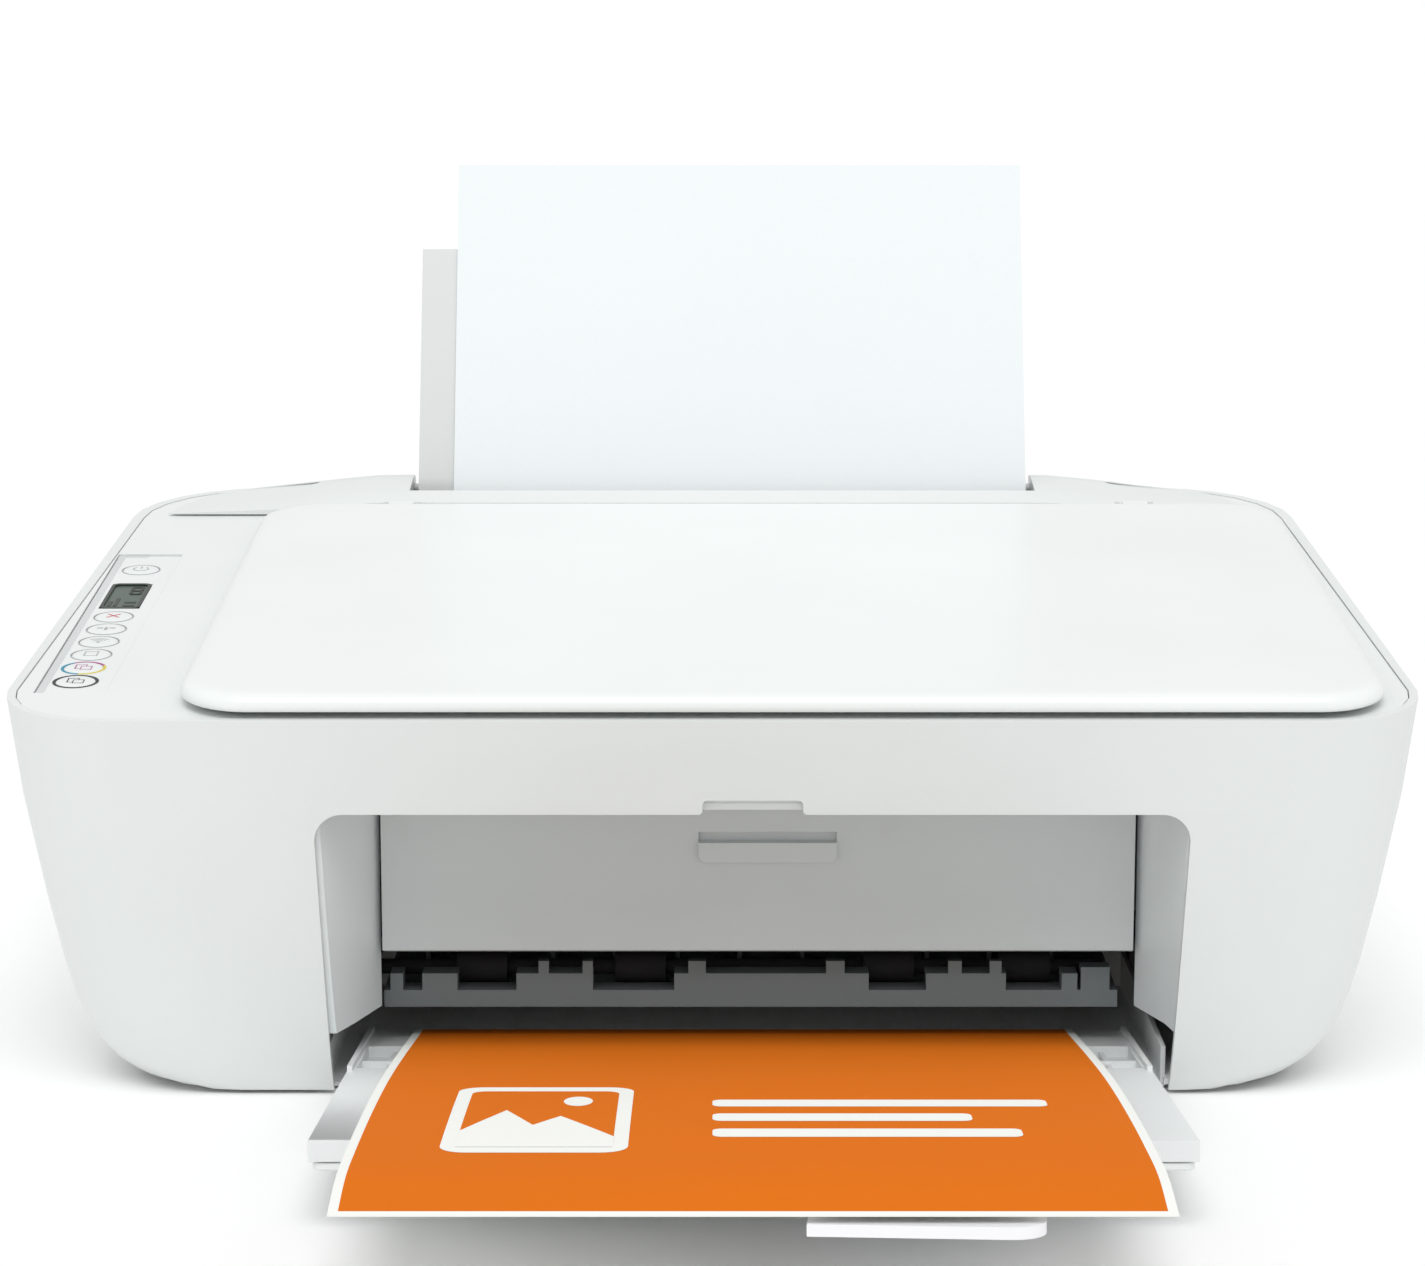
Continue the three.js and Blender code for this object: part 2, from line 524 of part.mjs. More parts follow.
// Arm that swings out of the tray's front edge, drawn pointing forward and turned by its skew.
const armShape = new THREE.Shape();
armShape.moveTo(EXTENDER.left, -EXTENDER.length);
armShape.lineTo(EXTENDER.right - 9, -EXTENDER.length);
armShape.absarc(EXTENDER.right - 9, -EXTENDER.length + 9, 9, -Math.PI / 2, 0);
armShape.absarc(0, 0, EXTENDER.right, 0, Math.PI / 2);
armShape.lineTo(EXTENDER.left, EXTENDER.right);
const arm = cut(
  prism(armShape, "z", ...EXTENDER.z, 8),
  rod("z", 2.4, -BIG, BIG, 0, 0, 16),
);
piece("tray_extender", arm.rotate([0, 0, EXTENDER.skew]).translate([...EXTENDER.pivot, 0]), WHITE, trayFrame);

// Printed page lying on the tray: rear edge, rise, crest and drooping front edge.
const pagePath = new THREE.CatmullRomCurve3(
  [[72, 4.7], [40, 10.2], [0, 17.2], [-52, 25.6], [-100, 31.8], [-149, 36.6], [-180, 38.4], [-201.6, 36]].map(
    ([y, z]) => new THREE.Vector3(0, y, z),
  ),
)
  .getPoints(24)
  .map((p) => new THREE.Vector2(p.y, p.z));
piece("printed_page", prism(strip(pagePath, 0, -SHEET.thick), "x", SHEET.left, SHEET.right), PRINT);

// ---------------------------------------------------------------- paper input
const lean = rad(SHEET_LEAN);
const down = new THREE.Vector2(-Math.sin(lean), -Math.cos(lean));
const forward = new THREE.Vector2(-Math.cos(lean), Math.sin(lean)); // from the sheet towards the front
const sheetTop = new THREE.Vector2(SHEET_TOP.y, SHEET_TOP.z);
const bendStart = sheetTop.clone().addScaledVector(down, SHEET_STRAIGHT);
const bendCentre = bendStart.clone().addScaledVector(forward, SHEET_BEND);
const turn = Math.PI / 2 - lean;
const bend = Array.from({ length: 9 }, (_, i) => {
  const angle = (turn * i) / 8;
  return bendStart.clone().sub(bendCentre).rotateAround(new THREE.Vector2(), -angle).add(bendCentre);
});
const tail = bend[8].clone().add(new THREE.Vector2(-SHEET_TAIL, 0));
const sheetPath = [sheetTop, ...bend, tail];
piece("input_sheet", prism(strip(sheetPath, 0, -SHEET.thick), "x", SHEET.left, SHEET.right), PAPER);
const chuteTop = sheetTop.clone().addScaledVector(down, 134);
const chutePath = [chuteTop, ...bend, bend[8].clone().add(new THREE.Vector2(-45, 0))];
const chute = prism(strip(chutePath, CHUTE_OFFSET, CHUTE_OFFSET + 1.6), "x", SLOT.left + 3, SLOT.right - 3);
piece("paper_chute", chute, GREY);
const pickBody = union(
  rod("x", 3, -104, 120, PICK.y, PICK.z, 12),
  rod("x", PICK.radius, -8, 28, PICK.y, PICK.z, 24),
);
piece("pick_roller", pickBody, RUBBER);

// Folding support: plate in the sheet's plane, held by two arms on pins at the rear.
const pivot = new THREE.Vector2(...SUPPORT.pivot);
const planeGap = pivot.clone().sub(sheetTop).dot(forward);
const reach = -planeGap - 0.5; // pivot to the plate's front face
const onSupport = (along, out) => {
  const p = pivot.clone().addScaledVector(down, -along).addScaledVector(forward, out);
  return [p.x, p.y];
};
// Below the pivot's level the plate curls round the pivot, so that it folds clear of the sheet.
const curl = (radius) =>
  [0, -0.2, -0.4, -0.6].map((angle) => onSupport(radius * Math.sin(angle), radius * Math.cos(angle)));
const supportOutline = [
  onSupport(SUPPORT.above, reach),
  ...curl(reach),
  ...curl(reach - SUPPORT.thick).reverse(),
  onSupport(SUPPORT.above, reach - SUPPORT.thick),
];
const supportPlate = prism(supportOutline.reverse(), "x", SUPPORT.left, SUPPORT.right);
const supportArm = (x) =>
  union(
    rod("x", 4, x, x + 3, ...SUPPORT.pivot, 16),
    prism([onSupport(-4, 0), onSupport(4, 0), onSupport(6, reach - 1), onSupport(-6, reach - 1)].reverse(), "x", x, x + 3),
  );
const supportBody = union(
  supportPlate,
  supportArm(SUPPORT.left),
  supportArm(SUPPORT.right - 3),
  rod("x", 1.8, SUPPORT.left - 4, SUPPORT.left + 1, ...SUPPORT.pivot, 16),
  rod("x", 1.8, SUPPORT.right - 1, SUPPORT.right + 7, ...SUPPORT.pivot, 16),
);
piece("input_tray", supportBody, SHELL);
const onSheet = (down_, out) => {
  const p = sheetTop.clone().addScaledVector(down, down_).addScaledVector(forward, out);
  return [p.x, p.y];
};
const guide = prism([onSheet(131, -0.9), onSheet(131, 3), onSheet(160, 3), onSheet(160, -0.9)], "x", -99, -95.7);
piece("width_guide", guide, GREY);

// ---------------------------------------------------------------- print mechanism
function gear(teeth, phase, centre, bore = 1.6) {
  const pitch = (teeth * GEAR.module) / 2;
  const shape = new THREE.Shape();
  const turns = (Math.PI * 2) / teeth;
  const corners = [[-0.27, -1.1], [-0.1, 0.78], [0.1, 0.78], [0.27, -1.1]];
  for (let k = 0; k < teeth; k++) {
    corners.forEach(([part, out], i) => {
      const angle = rad(phase) + (k + part) * turns;
      const at = [(pitch + out) * Math.cos(angle), (pitch + out) * Math.sin(angle)];
      if (k === 0 && i === 0) shape.moveTo(...at);
      else shape.lineTo(...at);
    });
  }
  const wheel = prism(shape, "x", ...GEAR.x).subtract(rod("x", bore, -BIG, BIG, 0, 0, 12));
  return wheel.translate([0, centre.y, centre.z]);
}
const shaft = (radius, x0, x1, { y, z }, sides = 12) => rod("x", radius, x0, x1, y, z, sides);
const feedSleeves = [-70, -20, 30, 80].map((x) => shaft(FEED.radius, x, x + 34, FEED, 16));
const rollerGear = ({ teeth, ...at }) => gear(teeth, 0, at, 1.2).add(shaft(1.5, ...GEAR.x, at));
piece("feed_roller", union(shaft(2.5, -153.5, 124, FEED), ...feedSleeves, rollerGear(FEED)), RUBBER);
const outputSleeves = STAR_XS.map((x) => shaft(OUTPUT.radius, x - 8, x + 8, OUTPUT, 16));
piece("output_roller", union(shaft(2.5, -153.5, 124, OUTPUT), ...outputSleeves, rollerGear(OUTPUT)), RUBBER);
piece("idler_gear", gear(IDLER.teeth, 180 / IDLER.teeth, IDLER), GEAR_PLASTIC);
const pinionReach = ((FEED.teeth + PINION_TEETH) * GEAR.module) / 2;
const PINION = {
  y: FEED.y + pinionReach * Math.cos(rad(PINION_ANGLE)),
  z: FEED.z + pinionReach * Math.sin(rad(PINION_ANGLE)),
};
piece("feed_pinion", gear(PINION_TEETH, 0, PINION), GEAR_PLASTIC);
const gearPlate = cut(
  box(-151.6, -149.6, 56, 138, 4.9, 42),
  ...[FEED, OUTPUT].map((at) => shaft(2.9, -BIG, BIG, at)),
);
piece("gear_plate", union(gearPlate, shaft(1.3, -159, -150, IDLER)), STEEL);
const feedMotor = union(shaft(12, -175, -160.5, PINION, 20), shaft(1.3, -161, -153.5, PINION));
piece("feed_motor", feedMotor, STEEL);

// Ribbed platform under the print line, open over the output rollers.
const PLATEN = { x: [-103, 127], y: [50, 104], z: [18.2, 23.6], rib: 30.4 };
const LIP_RIBS = [[-54.5, -51.3], [-40.7, -37.5], [-7.6, -2.1], [35.6, 41.4], [73.9, 78.1], [86.9, 90.6]];
const LIP_BLOCKS = [[-101, -97], [-91, -80], [-61.5, -37.5], [-12, 49], [67, 92], [109.5, 114.4]];
const platen = union(
  cut(
    box(...PLATEN.x, ...PLATEN.y, ...PLATEN.z),
    box(PLATEN.x[0] + 4, PLATEN.x[1] - 4, OUTPUT.y - 7, OUTPUT.y + 7, 20, BIG),
  ),
  ...LIP_BLOCKS.map(([x0, x1]) => box(x0, x1, 50, 58, PLATEN.z[0], 29)),
  ...LIP_RIBS.map(([x0, x1]) => box(x0, x1, 50, 53, PLATEN.z[0], 33)),
  ...Array.from({ length: 11 }, (_, i) => box(-92 + i * 20, -90.5 + i * 20, 78, 103, PLATEN.z[0], PLATEN.rib)),
  box(115.5, 124.5, 50, 56, PLATEN.z[0], 31),
);
piece("platen", platen, DARK);

// Spiked wheels over the output rollers, on an axle that hangs from one bar.
const starZ = OUTPUT.z + OUTPUT.radius + STAR_RADIUS + 0.3;
function starDisc(x) {
  const shape = new THREE.Shape();
  for (let i = 0; i < 24; i++) {
    const angle = (i * Math.PI) / 12;
    const radius = i % 2 ? STAR_RADIUS : STAR_RADIUS - 0.9;
    const at = [radius * Math.cos(angle), radius * Math.sin(angle)];
    if (i === 0) shape.moveTo(...at);
    else shape.lineTo(...at);
  }
  return prism(shape, "x", x - 0.5, x + 0.5).translate([0, OUTPUT.y, starZ]);
}
const starDiscs = STAR_XS.flatMap((x) => [x - STAR_HALF_SPAN, x + STAR_HALF_SPAN]).map(starDisc);
piece("star_wheels", union(rod("x", 0.8, -82, 108, OUTPUT.y, starZ, 8), ...starDiscs), BLACK);
const hangers = STAR_XS.flatMap((x) => [x - 5.9, x + 4.7]).map((x) =>
  cut(
    box(x, x + 1.2, OUTPUT.y - 2.5, OUTPUT.y + 2.5, starZ - 2, 43),
    rod("x", 1.15, x - 1, x + 3, OUTPUT.y, starZ, 10),
  ),
);
piece("star_wheel_bar", union(box(-101, 126, 61, 71, 42, 45), ...hangers), BLACK);

// Carriage with two ink cartridges, on a rail, drawn along by a toothed belt.
const [cx0, cx1] = CARRIAGE.x;
const bays = [0, 1].map((i) => [cx0 + 2 + i * 37, cx0 + 37 + i * 37]);
const carriageBody = union(
  cut(
    box(cx0, cx1, ...CARRIAGE.y, ...CARRIAGE.z),
    ...bays.map(([a, b]) => box(a, b, CARRIAGE.y[0] + 2, CARRIAGE.y[1] - 2, CARRIAGE.z[0] + 2, BIG)),
    ...bays.map(([a, b]) => box(a + 5, b - 5, 92, 116, 0, BIG)),
  ),
  box(cx0 + 8, cx1 - 8, CARRIAGE.y[1] - 1, 133.4, 51, 60),
  box(cx0 + 30, cx0 + 46, CARRIAGE.y[1] - 1, 126.1, 83, 88),
);
piece("carriage", carriageBody, DARK);
["cartridge_black", "cartridge_colour"].forEach((name, i) => {
  const [a, b] = bays[i];
  const ink = union(
    box(a + 0.5, b - 0.5, CARRIAGE.y[0] + 2.5, CARRIAGE.y[1] - 2.5, CARRIAGE.z[0] + 2.4, 84),
    box(a + 6, b - 6, 93, 115, 34.5, 43),
    box(a + 3, b - 3, CARRIAGE.y[0] + 2.5, 98, 83, 89),
  );
  piece(name, ink, i === 0 ? BLACK : DARK);
});
const rail = union(box(-178, 178, 134, 136, 47.6, 74), box(-178, 178, 124, 136, 47.6, 50.4));
piece("carriage_rail", rail, STEEL);
const loop = (grow) => {
  const r = PULLEY.radius + grow;
  const shape = new THREE.Shape();
  shape.absarc(PULLEY.x, PULLEY.z, r, -Math.PI / 2, Math.PI / 2);
  shape.absarc(-PULLEY.x, PULLEY.z, r, Math.PI / 2, Math.PI * 1.5);
  return prism(shape, "y", ...PULLEY.y, 12);
};
piece("carriage_belt", loop(GAP + BELT_THICK).subtract(loop(GAP)), BLACK);
for (const [name, side] of [["drive_pulley", 1], ["idler_pulley", -1]]) {
  const wheel = rod("y", PULLEY.radius, PULLEY.y[0], PULLEY.y[1], side * PULLEY.x, PULLEY.z, 20);
  const hub = rod("y", 2.6, PULLEY.y[1] - 1, 142.4, side * PULLEY.x, PULLEY.z, 12);
  piece(name, wheel.add(hub), GEAR_PLASTIC);
}
piece("carriage_motor", rod("y", 13, 143, 170, PULLEY.x, PULLEY.z, 24), STEEL);
piece("encoder_strip", box(-186, 186, 128.5, 129.1, 93, 98), GLAZING);
const STATION = { x: [139, 166], y: [84, 124] };
const station = union(
  box(...STATION.x, ...STATION.y, 4.9, 26),
  box(STATION.x[0] + 2, STATION.x[0] + 11, 94, 114, 25, 32),
  box(STATION.x[0] + 15, STATION.x[0] + 24, 94, 114, 25, 32),
);
piece("service_station", station, DARK);

// ---------------------------------------------------------------- electrics
const board = union(
  box(-158, -104, 165, 272, 12, 13.6),
  box(-152, -132, 180, 200, 13, 17),
  box(-126, -110, 210, 222, 13, 20),
  ...[-154, -108].flatMap((x) => [170, 267].map((y) => rod("z", 2.5, 4.9, 13, x, y, 10))),
);
piece("main_board", board, BOARD);
piece("power_supply", box(126, 157, 150, 262, 4.9, 44), BLACK);
const inlet = cut(
  box(INLET.x[0] + GAP, INLET.x[1] - GAP, 264, 294.2, INLET.z[0] + GAP, INLET.z[1] - GAP),
  rod("y", 7.5, 278, 300, 121, 23, 16),
  rod("y", 7.5, 278, 300, 129, 23, 16),
);
const prong = (x) => rod("y", 1.4, 277, 291, x, 23, 8);
piece("power_inlet", union(inlet, prong(121), prong(129)), BLACK);
const usb = cut(
  box(USB.x[0] + GAP, USB.x[1] - GAP, 273.5, 294.2, USB.z[0] + GAP, USB.z[1] - GAP),
  box(USB.x[0] + 2, USB.x[1] - 2, 282, 300, USB.z[0] + 2, USB.z[1] - 2),
);
piece("usb_port", union(usb, box(-147, -141, 281, 292, 16.8, 19.2)), STEEL);

machine.updateMatrixWorld(true);
const bounds = new THREE.Box3().setFromObject(machine, true);
machine.position.set(0, -(bounds.min.y + bounds.max.y) / 2, -bounds.min.z);

export default machine;
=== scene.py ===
# Looks of the inkjet printer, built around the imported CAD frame. +Z up, front towards -Y.
# Drawing dimensions are millimetres from the casing's front edge; at(), CASE and DECK turn them to metres.
import json
import math

import bmesh
import bpy
from mathutils import Matrix, Vector


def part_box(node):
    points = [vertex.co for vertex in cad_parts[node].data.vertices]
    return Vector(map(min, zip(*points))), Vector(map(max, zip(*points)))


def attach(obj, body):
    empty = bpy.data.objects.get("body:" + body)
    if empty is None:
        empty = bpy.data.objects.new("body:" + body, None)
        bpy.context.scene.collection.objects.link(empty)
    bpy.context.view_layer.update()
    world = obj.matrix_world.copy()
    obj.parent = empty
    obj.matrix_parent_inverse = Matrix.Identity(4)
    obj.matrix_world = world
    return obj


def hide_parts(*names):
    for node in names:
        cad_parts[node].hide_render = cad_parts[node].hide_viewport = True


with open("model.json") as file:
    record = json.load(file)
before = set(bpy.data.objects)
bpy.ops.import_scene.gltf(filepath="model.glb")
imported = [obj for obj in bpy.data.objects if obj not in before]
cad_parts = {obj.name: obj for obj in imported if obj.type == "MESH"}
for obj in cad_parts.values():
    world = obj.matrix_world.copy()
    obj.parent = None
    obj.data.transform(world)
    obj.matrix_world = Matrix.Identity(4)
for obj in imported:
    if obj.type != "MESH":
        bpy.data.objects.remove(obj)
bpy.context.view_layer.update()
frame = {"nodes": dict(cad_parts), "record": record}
nodes = frame["nodes"]
bodies = frame["record"]["behaviour"]["bodies"]
body_of = {node: body for body, members in bodies.items() for node in members}
slot_of = {row["node"]: row["material_slot"] for row in frame["record"]["subparts"]}

MM = 0.001
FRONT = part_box("outer_case")[0].y
DECK_HEIGHT, DECK_TILT = 119.8, math.radians(5.64)


def at(x, y, z):
    return Vector((x * MM, FRONT + y * MM, z * MM))


CASE = Matrix.Translation(at(0, 0, 0)) @ Matrix.Scale(MM, 4)
DECK = Matrix.Translation(at(0, 0, DECK_HEIGHT)) @ Matrix.Rotation(DECK_TILT, 4, "X") @ Matrix.Scale(MM, 4)


# ---------------------------------------------------------------- materials
CLOUD_SCALE = 12  # patches of tone and gloss about 80 mm across
GLOSS_DRIFT = 0.12  # share by which the roughness varies
GRAIN_DEPTH = 0.0003  # metres


def linear(rgb):
    return [(c / 255) ** 2.2 for c in rgb]


def moulded(name, rgb, roughness, grain=0.1, grain_scale=2600, drift=0.02, metallic=0.0, transmission=0.0,
            specular=0.5):
    """Plastic, metal or paper with a fine grain, uneven gloss and a slow drift of tone."""
    material = bpy.data.materials.new(name)
    material.use_nodes = True
    tree = material.node_tree
    shader = tree.nodes["Principled BSDF"]
    shader.inputs["Metallic"].default_value = metallic
    shader.inputs["Transmission Weight"].default_value = transmission
    shader.inputs["Specular IOR Level"].default_value = specular
    where = tree.nodes.new("ShaderNodeTexCoord")
    cloud = tree.nodes.new("ShaderNodeTexNoise")
    cloud.inputs["Scale"].default_value = CLOUD_SCALE
    cloud.inputs["Detail"].default_value = 3
    tree.links.new(where.outputs["Object"], cloud.inputs["Vector"])
    tone = tree.nodes.new("ShaderNodeValToRGB")
    low, high = tone.color_ramp.elements
    low.position, high.position = 0.3, 0.7
    low.color = (*[c * (1 - drift) for c in linear(rgb)], 1)
    high.color = (*[min(1, c * (1 + drift / 2)) for c in linear(rgb)], 1)
    tree.links.new(cloud.outputs["Fac"], tone.inputs["Fac"])
    tree.links.new(tone.outputs["Color"], shader.inputs["Base Color"])
    gloss = tree.nodes.new("ShaderNodeMapRange")
    gloss.inputs["To Min"].default_value = roughness * (1 - GLOSS_DRIFT)
    gloss.inputs["To Max"].default_value = min(1, roughness * (1 + GLOSS_DRIFT))
    tree.links.new(cloud.outputs["Fac"], gloss.inputs["Value"])
    tree.links.new(gloss.outputs["Result"], shader.inputs["Roughness"])
    speck = tree.nodes.new("ShaderNodeTexNoise")
    speck.inputs["Scale"].default_value = grain_scale
    speck.inputs["Detail"].default_value = 2
    tree.links.new(where.outputs["Object"], speck.inputs["Vector"])
    bump = tree.nodes.new("ShaderNodeBump")
    bump.inputs["Strength"].default_value = grain
    bump.inputs["Distance"].default_value = GRAIN_DEPTH
    tree.links.new(speck.outputs["Fac"], bump.inputs["Height"])
    tree.links.new(bump.outputs["Normal"], shader.inputs["Normal"])
    return material


LOOKS = {
    "shell": moulded("shell", (230, 234, 233), 0.42),
    "white_plastic": moulded("white_plastic", (236, 240, 239), 0.36, 0.06),
    "grey_plastic": moulded("grey_plastic", (205, 207, 207), 0.5),
    "dark_plastic": moulded("dark_plastic", (120, 123, 122), 0.55, 0.2),
    "black_plastic": moulded("black_plastic", (34, 35, 36), 0.5, 0.2),
    "rubber": moulded("rubber", (44, 44, 46), 0.85, 0.4, 1400),
    "steel": moulded("steel", (176, 178, 181), 0.35, 0.1, 900, 0.06, 0.95),
    "paper": moulded("paper", (238, 243, 244), 0.92, 0.25, 1500, 0.006, specular=0.2),
    "print": moulded("print", (225, 114, 22), 0.8, 0.2, 1500, 0.02, specular=0.12),
    "gear_plastic": moulded("gear_plastic", (232, 228, 214), 0.45),
    "circuit_board": moulded("circuit_board", (30, 104, 62), 0.4, 0.3, 500, 0.15),
    "display": moulded("display", (62, 80, 69), 0.3, 0.02, 1200, 0.05),
    "glass": moulded("glass", (214, 226, 223), 0.05, 0.01, 800, 0.02, 0.0, 0.8),
    "foam": moulded("foam", (240, 240, 238), 0.95, 0.9, 700, 0.04),
    "door": moulded("door", (211, 215, 215), 0.5),
    "lip": moulded("lip", (120, 126, 128), 0.55, 0.2),
    "throat": moulded("throat", (238, 243, 244), 0.45),
    "support": moulded("support", (218, 221, 220), 0.45),
    "tray": moulded("tray", (236, 239, 239), 0.45),
    "lid": moulded("lid", (240, 244, 243), 0.3, 0.04),
    "extender": moulded("extender", (246, 246, 248), 0.4),
    "border": moulded("border", (246, 247, 242), 0.9, 0.2, 1500, 0.006, specular=0.2),
    "ink_black": moulded("ink_black", (62, 64, 66), 0.6, 0.05, 3000, 0.1),
    "ink_grey": moulded("ink_grey", (176, 179, 180), 0.6, 0.05, 3000, 0.06),
    # painted shade: pale grey for the shadowed step along the control panel's recess, not a printed ink
    "painted_shade_pale": moulded("painted_shade_pale", (214, 217, 217), 0.6, 0.05, 3000, 0.06),
    "ink_cyan": moulded("ink_cyan", (70, 150, 178), 0.6, 0.05, 3000, 0.06),
    "ink_magenta": moulded("ink_magenta", (176, 92, 150), 0.6, 0.05, 3000, 0.06),
    "ink_yellow": moulded("ink_yellow", (226, 206, 78), 0.6, 0.05, 3000, 0.06),
    "ink_red": moulded("ink_red", (206, 122, 124), 0.6, 0.05, 3000, 0.06),
    "display_frame": moulded("display_frame", (38, 46, 40), 0.35, 0.05, 1200, 0.04),
    "display_segment": moulded("display_segment", (16, 22, 18), 0.4, 0.05, 1200, 0.04),
    "floor": moulded("floor", (254, 254, 254), 0.9, 0.02, 400, 0.004),
}


# ---------------------------------------------------------------- mesh helpers
CREASE, LID_CREASE = 40, 50  # degrees from which an edge is shaded sharp
ROUNDED_FROM = 35  # degrees from which an edge is rounded
SAME_PLACE = 1e-5  # metres within which points are merged
SAME_PLANE = 0.5  # degrees within which faces are joined


def to_object(name, bm, matrix, look, crease=CREASE):
    bmesh.ops.recalc_face_normals(bm, faces=bm.faces)
    mesh = bpy.data.meshes.new(name)
    bm.to_mesh(mesh)
    bm.free()
    if "custom_normal" in mesh.attributes:
        mesh.attributes.remove(mesh.attributes["custom_normal"])
    mesh.transform(matrix)
    piece = bpy.data.objects.new(name, mesh)
    bpy.context.scene.collection.objects.link(piece)
    mesh.materials.clear()
    mesh.materials.append(LOOKS[look])
    mesh.shade_smooth()
    mesh.set_sharp_from_angle(angle=math.radians(crease))
    return piece


def stands_for(piece, *members):
    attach(piece, body_of[members[0]])
    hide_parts(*members)
    return piece


def round_edges(piece, width, segments=2):
    bevel = piece.modifiers.new("round", "BEVEL")
    bevel.width = width * MM
    bevel.segments = segments
    bevel.limit_method = "ANGLE"
    bevel.angle_limit = math.radians(ROUNDED_FROM)
    bevel.harden_normals = True
    return piece


def refine(name, width, segments=2, look=None):
    """A CAD node's form with its edges rounded to the given width in millimetres."""
    bm = bmesh.new()
    bm.from_mesh(nodes[name].data)
    bmesh.ops.remove_doubles(bm, verts=bm.verts, dist=SAME_PLACE)
    bmesh.ops.dissolve_limit(bm, angle_limit=math.radians(SAME_PLANE), verts=bm.verts, edges=bm.edges)
    piece = to_object(name + "_body", bm, Matrix.Identity(4), look or slot_of[name])
    return stands_for(round_edges(piece, width, segments), name)


def outline(x0, x1, y0, y1, r, steps=8):
    """Rounded rectangle, anticlockwise from above."""
    corners = ((x1 - r, y0 + r, -90), (x1 - r, y1 - r, 0), (x0 + r, y1 - r, 90), (x0 + r, y0 + r, 180))
    points = []
    for cx, cy, start in corners:
        for i in range(steps + 1):
            angle = math.radians(start + 90 * i / steps)
            points.append((cx + r * math.cos(angle), cy + r * math.sin(angle)))
    return points


def stacked(profile, x_range, y_range, corner, steps, corner_share=0):
    """Rounded rectangles at a profile's (inset, height) rows; corners shrink by a share of the inset."""
    (x0, x1), (y0, y1) = x_range, y_range
    return [
        [(x, y, z) for x, y in outline(x0 + d, x1 - d, y0 + d, y1 - d, corner - corner_share * d, steps)]
        for d, z in profile
    ]


def add_skin(bm, rings):
    """Adds a closed body through rings of points, with flat ends."""
    loops = [[bm.verts.new(p) for p in ring] for ring in rings]
    for a, b in zip(loops, loops[1:]):
        for i in range(len(a)):
            j = (i + 1) % len(a)
            bm.faces.new((a[i], a[j], b[j], b[i]))
    bm.faces.new(loops[0])
    bm.faces.new(loops[-1])
    return bm


def skin(rings):
    return add_skin(bmesh.new(), rings)


def plates(name, shapes, low, high, look, body):
    """Raised flat marks on the deck, each an outline of (x, y) points, between two heights."""
    bm = bmesh.new()
    for shape in shapes:
        add_skin(bm, [[(x, y, z) for x, y in shape] for z in (low, high)])
    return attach(to_object(name, bm, DECK, look), body)


def arc_strip(centre, inner, outer, start, end, steps=40):
    """Outline of a ring's part between two angles in degrees."""
    angles = [math.radians(start + (end - start) * i / steps) for i in range(steps + 1)]
    cx, cy = centre
    out = [(cx + outer * math.cos(a), cy + outer * math.sin(a)) for a in angles]
    back = [(cx + inner * math.cos(a), cy + inner * math.sin(a)) for a in reversed(angles)]
    return out + back


def bar(x0, x1, y0, y1):
    return [(x0, y0), (x1, y0), (x1, y1), (x0, y1)]


def slanted(half_length, half_width, degrees):
    """A bar round the origin, turned by an angle."""
    c, s = math.cos(math.radians(degrees)), math.sin(math.radians(degrees))
    corners = bar(-half_length, half_length, -half_width, half_width)
    return [(x * c - y * s, x * s + y * c) for x, y in corners]


def carve(piece, boxes, matrix):
    """Cuts boxes of (x0, x1, y0, y1, z0, z1) out of a piece."""
    bm = bmesh.new()
    for x0, x1, y0, y1, z0, z1 in boxes:
        made = bmesh.ops.create_cube(bm, size=1)["verts"]
        for v in made:
            x, y, z = v.co
            v.co = Vector((x1 if x > 0 else x0, y1 if y > 0 else y0, z1 if z > 0 else z0))
    cutter = to_object("cutter", bm, matrix, "shell")
    cut = piece.modifiers.new("cut", "BOOLEAN")
    cut.object = cutter
    cut.operation = "DIFFERENCE"
    cut.solver = "EXACT"
    bpy.context.view_layer.update()
    mesh = bpy.data.meshes.new_from_object(piece.evaluated_get(bpy.context.evaluated_depsgraph_get()))
    piece.modifiers.clear()
    piece.data = mesh
    mesh.set_sharp_from_angle(angle=math.radians(CREASE))
    bpy.data.objects.remove(cutter)
    return piece


# ---------------------------------------------------------------- scanner lid
LID_X, LID_Y, LID_CORNER = (-160.4, 202.4), (1.2, 247), 22
HINGE_XS, HINGE_Y, HINGE_Z = (-112, 152), 249, 4
NOTCH_HALF, NOTCH_Y, NOTCH_Z = 8, (243, 252), (-1, 9)  # gaps in the lid's rear edge round the knuckles
KNUCKLE_HALF, KNUCKLE_RADIUS, KNUCKLE_FRONT = 4.5, 2.6, 241
# inset from the outline and height, from the ceiling of the underside round the edge to the top
LID_PROFILE = [
    (5.4, 5.1), (5.2, 2.5), (4.9, 2.0), (4.4, 1.9), (1.6, 1.9), (0.9, 2.0),
    (0.35, 2.35), (0.05, 2.9), (0, 3.5), (0.1, 4.2), (0.4, 5.0), (0.95, 5.75),
    (1.75, 6.4), (2.9, 6.9), (4.3, 7.17), (6.2, 7.28), (9, 7.3),
]
PAD_X, PAD_Y, PAD_CORNER = (-121, 174), (21, 233), 4
PAD_PROFILE = [(1.2, 0.1), (0.4, 0.4), (0, 1.1), (0, 4.0), (0.3, 4.5), (1, 4.75)]  # inset and height


def make_lid():
    rings = stacked(LID_PROFILE, LID_X, LID_Y, LID_CORNER, 12, 0.8)
    lid = to_object("lid_shell", skin(rings), DECK, "lid", LID_CREASE)
    carve(lid, [(x - NOTCH_HALF, x + NOTCH_HALF, *NOTCH_Y, *NOTCH_Z) for x in HINGE_XS], DECK)
    stands_for(lid, "scanner_lid")
    make_knuckles()


